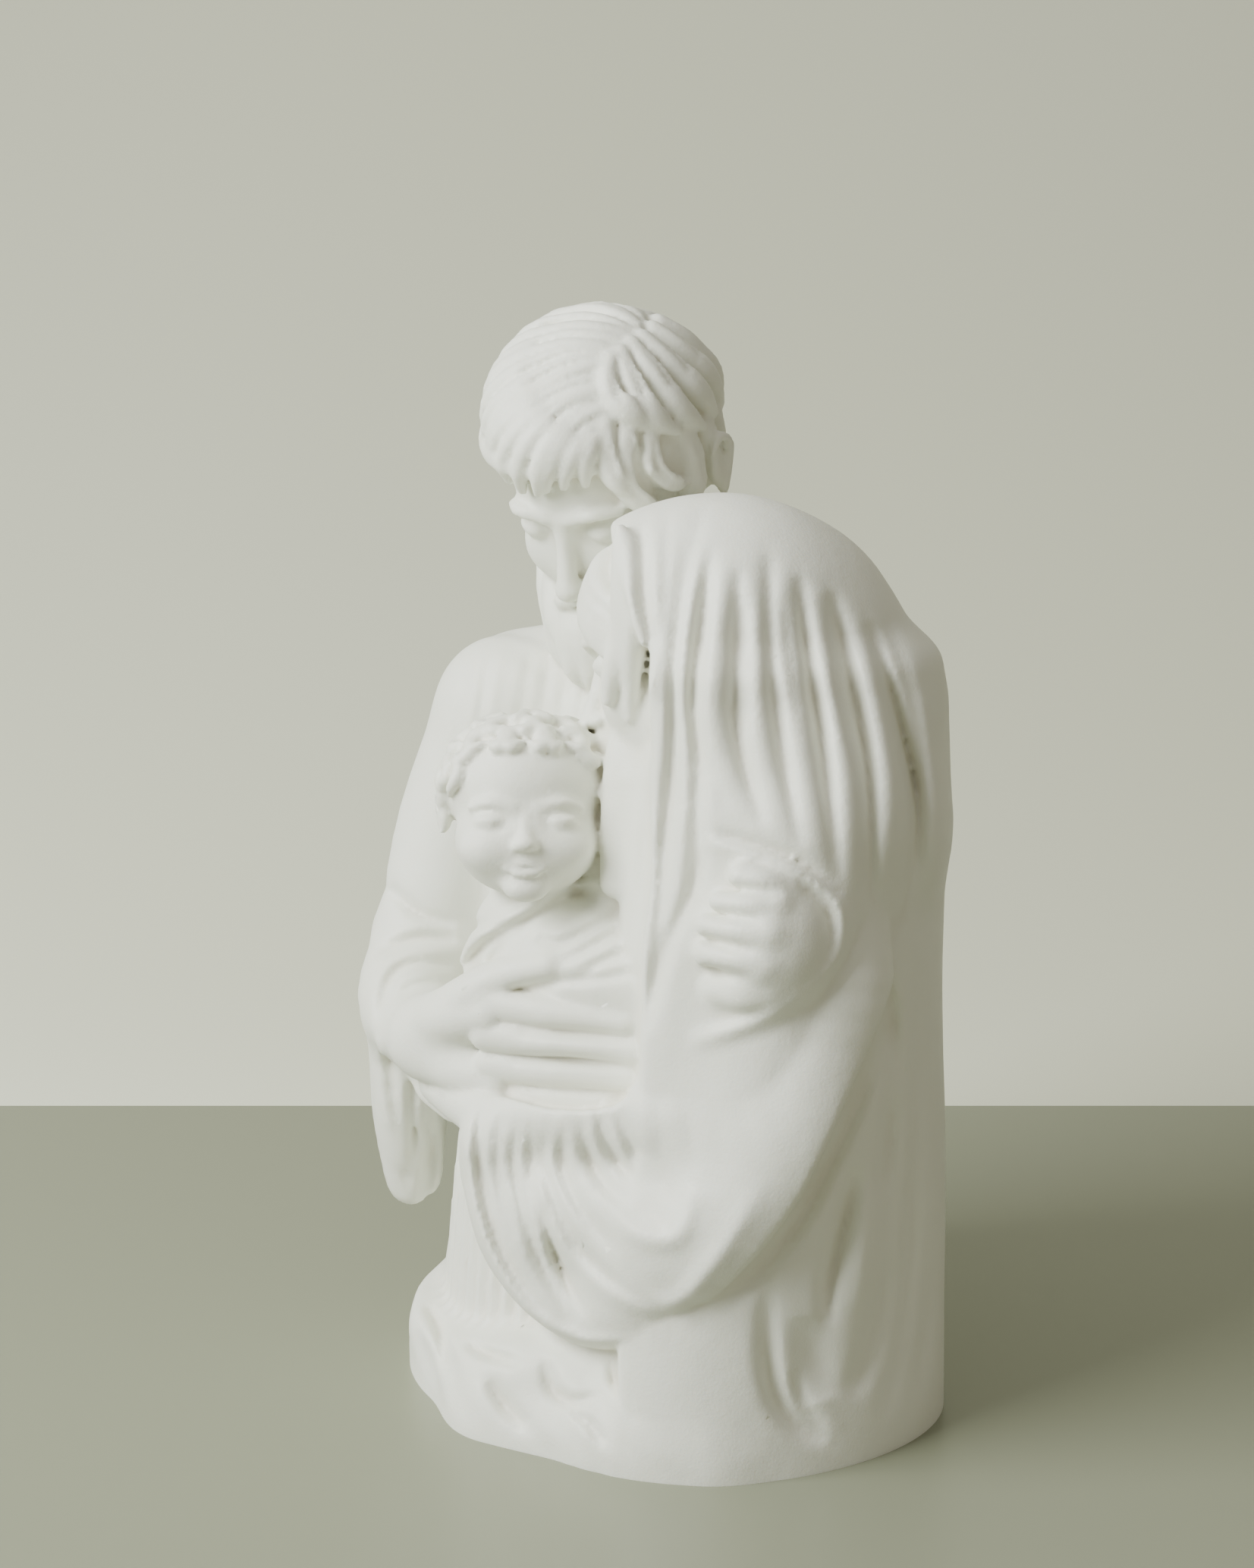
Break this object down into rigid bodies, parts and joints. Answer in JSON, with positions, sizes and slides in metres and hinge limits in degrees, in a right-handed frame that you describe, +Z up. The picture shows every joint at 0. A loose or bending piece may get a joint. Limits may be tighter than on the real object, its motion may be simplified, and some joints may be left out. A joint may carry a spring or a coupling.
{
  "type": "holy family statue",
  "caption": "White plaster statue of a mother, a father and a sleeping child in one embrace, cast as one block on a low rough base.",
  "frame": {"origin": "middle of the flat underside's bounding box, on the surface that the statue stands on", "axes": "+Z up; the group faces -Y; the father stands at -X and the mother at +X"},
  "size_m": [0.146, 0.1162, 0.2502],
  "materials": {
    "plaster": "matte white cast plaster with a fine even grain, unpainted"
  },
  "bodies": {
    "root": {"statue_body": "plaster"}
  },
  "joints": []
}
